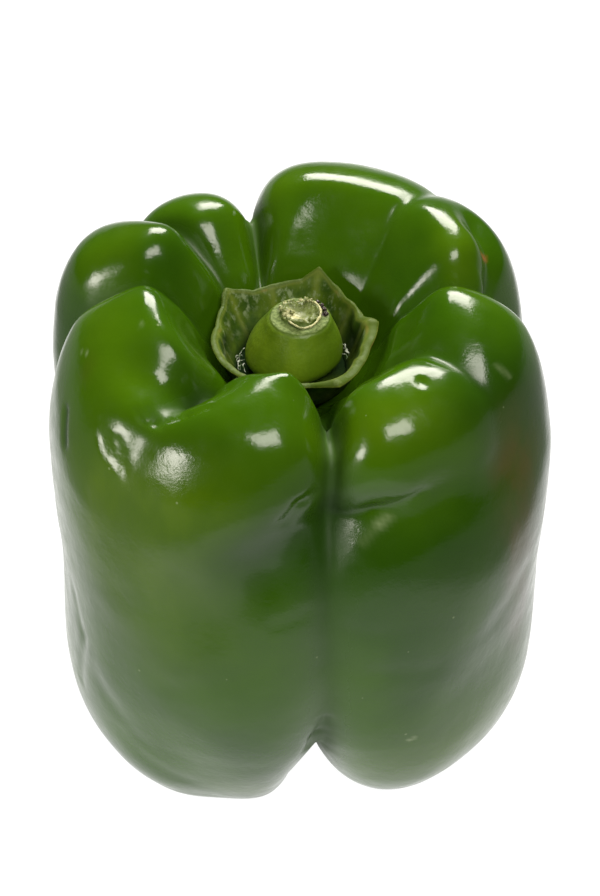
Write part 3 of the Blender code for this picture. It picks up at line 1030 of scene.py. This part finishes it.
def add_calyx(middle):
    """The leafy cup, with its veins and pale puckered edge."""
    azimuth, share = rings_and_poles(CALYX_AROUND, even_shares(CALYX_RINGS))
    faces = round_faces(CALYX_AROUND, CALYX_RINGS)
    reach = 1.0 - np.abs(2.0 * share - 1.0)
    points = calyx_points(azimuth, share)
    line_place, line_width, line_amount = CALYX_HIGHLIGHT_LINE
    line = line_amount * fade(reach - line_place, line_width)
    painted = {
        # edge: the leaf's paler rim with a painted highlight along it, and a painted highlight
        # along the fold below it
        "edge": np.maximum(ease(reach, (0.975, 0.995), (0.0, 1.0)), line),
        # low: painted shade on the floor and in places on the wall inside, and over the whole
        # outer face
        "low": np.where(share <= 0.5, calyx_shade(azimuth, reach), 0.3),
        "lip": ease(reach, (0.86, 0.90), (0.0, 1.0)),
        "vein": calyx_vein(azimuth, reach),
        "inside": np.where(share <= 0.5, 1.0, 0.25) * ease(reach, (0.5, 0.68), (0.0, 1.0)),
    }
    piece = add_mesh("calyx_cup", (points - middle) * MM, faces, leaf_material(), painted)
    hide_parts("calyx")


# The stem
def stem_points(azimuth, share):
    """Places on the stem, from the middle of its torn end (share 0) to the middle of its base."""
    station = share * (len(STEM_PROFILE) - 1)
    radius = along(STEM_RADII, station, -1)
    height = along(STEM_HEIGHTS, station, 1)
    angle = np.radians(azimuth)
    rib = STEM_RIB_SHARE * np.cos(STEM_RIBS * angle + 1.0) * ease(station, (3.0, 5.0), (0.0, 1.0))
    tear = np.sin(3.0 * angle + 0.6) + 0.6 * np.sin(7.0 * angle)
    height = height + TEAR_HEIGHT * 0.5 * tear * ease(station, (0.3, 1.0, 2.0), (0.0, 1.0, 0.0))
    radius = radius * (1.0 + rib)
    climb = limit((height - STEM_HEIGHTS[-1]) / (STEM_HEIGHTS[0] - STEM_HEIGHTS[-1]))
    middle = [foot + (top - foot) * climb for foot, top in zip(STEM_FOOT, STEM_TOP)]
    return places_round(middle, azimuth, radius, height)


def stalk_material():
    """Yellow-green rind with painted shade on one side, a pale granular ring between two grooves
    on the torn end, and a pith with cream spots and dark flecks."""
    material, tree, shader = new_surface("stalk_rind", 0.35)
    shader.inputs["Specular IOR Level"].default_value = 0.3
    tone = noise_field(tree, 150.0, 3.0, (1.0, 1.0, 0.3))
    # sunny: 0 on the side with painted shade, where the rind stays darker
    light = multiply(tree, spread(tree, tone, 0.3, 0.7), mask(tree, "sunny"))
    colour = blend_colours(tree, light, STALK_DEEP, STALK_LIGHT)
    grain = noise_field(tree, 1500.0, 4.0)
    ring = blend_colours(tree, spread(tree, grain, 0.34, 0.60), STALK_GROOVE, STALK_RING)
    colour = blend_colours(tree, mask(tree, "ring"), colour, ring)
    cream = multiply(tree, mask(tree, "cream"), spread(tree, grain, 0.34, 0.56, 0.3, 1.0))
    pith = blend_colours(tree, cream, STALK_PITH, STALK_CREAM)
    colour = blend_colours(tree, mask(tree, "pith"), colour, pith)
    colour = blend_colours(tree, mask(tree, "groove"), colour, STALK_GROOVE)
    colour = blend_colours(tree, mask(tree, "dark"), colour, STALK_BROWN)
    tree.links.new(colour, shader.inputs["Base Color"])
    rough = calculate(tree, "ADD", 0.40, faint_mask(tree, "ring", 0.35))
    tree.links.new(rough, shader.inputs["Roughness"])
    add_bump(tree, shader, grain, 0.00010)
    return material


def add_stem(middle):
    """The stem stub, with a ragged, granular torn end."""
    azimuth, share = rings_and_poles(STEM_AROUND, even_shares(STEM_RINGS))
    faces = round_faces(STEM_AROUND, STEM_RINGS)
    station = share * (len(STEM_PROFILE) - 1)
    points = stem_points(azimuth, share)
    torn = ease(station, (0.4, 1.0, 1.7), (0.15, 1.0, 0.0))
    ring = ease(station, (1.3, 1.8, 2.8, 3.1), (0.0, 1.0, 1.0, 0.0))
    wander = station + 0.18 * smooth_noise(points, 1.6, 6.0)
    inner_groove = ease(wander, (1.2, 1.6, 2.0), (0.0, 0.9, 0.0))
    groove = inner_groove + ease(wander, (2.85, 3.1, 3.4), (0.0, 0.45, 0.0))
    ragged = smooth_noise(points, 0.9, 1.0) + 0.6 * smooth_noise(points, 0.4, 4.0)
    relief = TEAR_RELIEF * torn * ragged + RING_RELIEF * ring * ragged
    relief = relief - GROOVE_DEPTH * groove
    on_rind = ease(station, (3.0, 4.0), (0.0, 1.0))
    relief = relief + RIND_RELIEF * smooth_noise(points, RIND_LUMPS, 3.0) * on_rind
    points = points + (relief - STEM_SINK)[:, None] * vertex_normals(points, faces)
    painted = {
        "pith": ease(station, (1.1, 1.7), (1.0, 0.0)),
        # sunny: painted shade on one side of the rind
        "sunny": 1.0 - on_side(azimuth, STEM_SHADED_SIDE),
        "cream": spots(points, CREAM_SPOTS),
        "ring": ring,
        "groove": groove,
        "dark": spots(points, STEM_FLECKS),
    }
    piece = add_mesh("stem_stub", (points - middle) * MM, faces, stalk_material(), painted)
    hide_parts("stem")


def smooth_path(places, steps):
    """Places on a smooth curve through the given ones, a number of steps from each to the next."""
    rows = np.array(places, dtype=float)
    rows = np.vstack([2.0 * rows[0] - rows[1], rows, 2.0 * rows[-1] - rows[-2]])
    way = np.linspace(0.0, len(places) - 1, steps * (len(places) - 1) + 1)
    index = np.clip(np.floor(way).astype(int), 0, len(places) - 2)
    return curve_between(rows, index, (way - index)[:, None])


def tube(path, radii, sides):
    """Points and faces of a closed round strand along a path, with rounded-off ends."""
    ahead = np.gradient(path, axis=0)
    ahead /= np.linalg.norm(ahead, axis=1, keepdims=True)
    across = np.cross(ahead, (0.0, 0.0, 1.0))
    across /= np.maximum(np.linalg.norm(across, axis=1, keepdims=True), 1e-6)
    upward = np.cross(across, ahead)
    angles = np.arange(sides) * 2.0 * math.pi / sides
    points = [path[0]]
    for place, side, top, radius in zip(path, across, upward, radii):
        ring = [math.cos(angle) * side + math.sin(angle) * top for angle in angles]
        points += [place + radius * spoke for spoke in ring]
    points.append(path[-1])
    return np.array(points), round_faces(sides, len(path))


def lump(place, radius, number):
    """Points and faces of a rough crumb, flattened and pitted in its own way."""
    azimuth, share = rings_and_poles(CRUMB_AROUND, even_shares(CRUMB_RINGS))
    angle, fall = np.radians(azimuth), share * math.pi
    out = np.sin(fall)
    ball = np.stack([out * np.cos(angle), out * np.sin(angle), np.cos(fall)], axis=-1)
    swell = 1.0 + 0.7 * smooth_noise(ball, 0.8, 3.1 * number)
    swell = swell + 0.35 * smooth_noise(ball, 0.35, 5.7 * number)
    points = np.array(place) + radius * swell[:, None] * ball * CRUMB_SHAPE
    return points, round_faces(CRUMB_AROUND, CRUMB_RINGS)


def join(pieces):
    """One list of points and one of faces from several."""
    points, faces = [], []
    start = 0
    for some, others in pieces:
        points.append(some)
        faces += [tuple(corner + start for corner in face) for face in others]
        start += len(some)
    return np.vstack(points), faces


def add_tear(middle):
    """What stands up from the torn end: the curl of fibre round the pith, and crumbs of pith."""
    path = smooth_path(STEM_CURL, 12)
    shake = [smooth_noise(path, 0.9, lift) for lift in (1.0, 2.0, 3.0)]
    path = path + STEM_CURL_SHAKE * np.stack(shake, axis=-1)
    fat = 0.75 + 0.5 * smooth_noise(path, 0.7, 9.0)
    ends = np.sin(np.linspace(0.0, math.pi, len(path))) ** 0.35
    radii = STEM_CURL_RADIUS * np.clip(fat, 0.4, 1.3) * (0.25 + 0.75 * ends)
    pieces = [tube(path, radii, 12)]
    dark = [np.zeros(len(pieces[0][0]))]
    cream = [np.ones(len(pieces[0][0]))]
    for number, (x, y, height, radius, brown) in enumerate(STEM_CRUMBS):
        pieces.append(lump((x, y, height), radius, number))
        dark.append(np.full(len(pieces[-1][0]), float(brown)))
        cream.append(np.full(len(pieces[-1][0]), 0.3 + 0.5 * (number % 3) / 2.0))
    points, faces = join(pieces)
    painted = {name: np.zeros(len(points)) for name in ("sunny", "ring", "groove")}
    painted["pith"] = np.ones(len(points))
    painted["cream"] = np.concatenate(cream)
    painted["dark"] = np.concatenate(dark)
    piece = add_mesh("stem_tear", (points - middle) * MM, faces, stalk_material(), painted)
    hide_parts("stem")


def spots(points, places):
    """1 on the spots given by across, away, height and radius, 0 away from them."""
    amount = np.zeros(len(points))
    for x, y, height, radius in places:
        distance = np.linalg.norm(points - np.array([x, y, height]), axis=1)
        amount = np.maximum(amount, fade(distance, radius))
    return limit(SPOT_STRENGTH * amount)


# The fibres
def fibre_material():
    """Dry papery white fibre, a little mottled."""
    material, tree, shader = new_surface("fibre_dry", 0.6)
    tone = noise_field(tree, 1200.0, 3.0)
    colour = blend_colours(tree, spread(tree, tone, 0.40, 0.60), FIBRE_PALE, LEAF_DEEP)
    tree.links.new(colour, shader.inputs["Base Color"])
    add_bump(tree, shader, tone, 0.00004)
    return material


def add_fibres(middle):
    """The loose fibres on both sides of the stem."""
    strands = []
    for number, places in enumerate(FIBRES):
        path = smooth_path(places, 14)
        shake = [smooth_noise(path, 0.6, lift + 2.3 * number) for lift in (1.0, 2.0, 3.0)]
        path = path + FIBRE_SHAKE * np.stack(shake, axis=-1)
        fat = 1.0 + smooth_noise(path, 0.5, 7.0 + number)
        ends = np.sin(np.linspace(0.0, math.pi, len(path)))
        radii = FIBRE_RADIUS * np.clip(fat, 0.3, 1.8) * (0.3 + 0.7 * ends)
        strands.append(tube(path, radii, 8))
    points, faces = join(strands)
    piece = add_mesh("cup_fibres", (points - middle) * MM, faces, fibre_material(), {})
    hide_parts("calyx")


# Floor, lights and camera
def add_floor():
    """A plain white floor with a glow of its own, which dims away from the pepper."""
    material, tree, shader = new_surface("floor_white", 0.9)
    place = tree.nodes.new("ShaderNodeMapping")
    place.vector_type = "TEXTURE"
    place.inputs["Location"].default_value = FLOOR_MIDDLE
    place.inputs["Scale"].default_value = FLOOR_POOL
    tree.links.new(coordinates(tree), place.inputs["Vector"])
    away = tree.nodes.new("ShaderNodeVectorMath")
    away.operation = "LENGTH"
    tree.links.new(place.outputs["Vector"], away.inputs[0])
    pool = spread(tree, away.outputs["Value"], 1.0, FLOOR_FADE, 1.0, 0.0)
    tone = blend_colours(tree, pool, FLOOR_GREY, FLOOR_PALE)
    tree.links.new(tone, shader.inputs["Base Color"])
    shader.inputs["Emission Color"].default_value = WHITE
    glow = spread(tree, pool, 0.0, 1.0, FLOOR_GLOW * FLOOR_DIM, FLOOR_GLOW)
    tree.links.new(glow, shader.inputs["Emission Strength"])
    corners = [(-1, -1), (1, -1), (1, 1), (-1, 1)]
    points = [(FLOOR_HALF * x, FLOOR_HALF * y, 0.0) for x, y in corners]
    mesh = new_mesh("floor", points, [(0, 1, 2, 3)])
    mesh.materials.append(material)
    floor = new_object("floor", mesh)


def direction(azimuth, elevation):
    """A unit vector at an azimuth and an elevation in degrees."""
    side, rise = math.radians(azimuth), math.radians(elevation)
    level = math.cos(rise)
    return Vector((math.cos(side) * level, math.sin(side) * level, math.sin(rise)))


def add_lights():
    """Large soft lights in a dim room."""
    for name, azimuth, elevation, width, height, brightness in LIGHTS:
        data = bpy.data.lights.new(name, "AREA")
        data.shape = "RECTANGLE"
        data.size = width
        data.size_y = height
        data.energy = brightness * math.pi * width * height
        data.color = LIGHT_COLOUR
        lamp = new_object(name, data)
        away = direction(azimuth, elevation)
        lamp.location = LIGHT_AIM + away * LIGHT_DISTANCE
        lamp.rotation_euler = away.to_track_quat("Z", "Y").to_euler()
    world = bpy.data.worlds.new("room")
    world.use_nodes = True
    background = world.node_tree.nodes["Background"]
    background.inputs["Color"].default_value = WHITE
    background.inputs["Strength"].default_value = ROOM_LIGHT
    bpy.context.scene.world = world
    bpy.context.scene.view_settings.view_transform = "Standard"


def add_camera(middle):
    """The camera, looking down on the front."""
    data = bpy.data.cameras.new("camera")
    data.lens = CAMERA_LENS
    data.sensor_width = CAMERA_SENSOR
    data.clip_start = 0.01
    camera = new_object("camera", data)
    target = Vector((-middle[0] * MM, -middle[1] * MM, CAMERA_TARGET))
    camera.location = target + direction(CAMERA_AZIMUTH, CAMERA_ELEVATION) * CAMERA_DISTANCE
    camera.rotation_euler = (math.radians(90 - CAMERA_ELEVATION + CAMERA_LIFT), 0.0, 0.0)
    bpy.context.scene.camera = camera


core = add_skin()
add_calyx(core)
add_stem(core)
add_tear(core)
add_fibres(core)
add_floor()
add_lights()
add_camera(core)
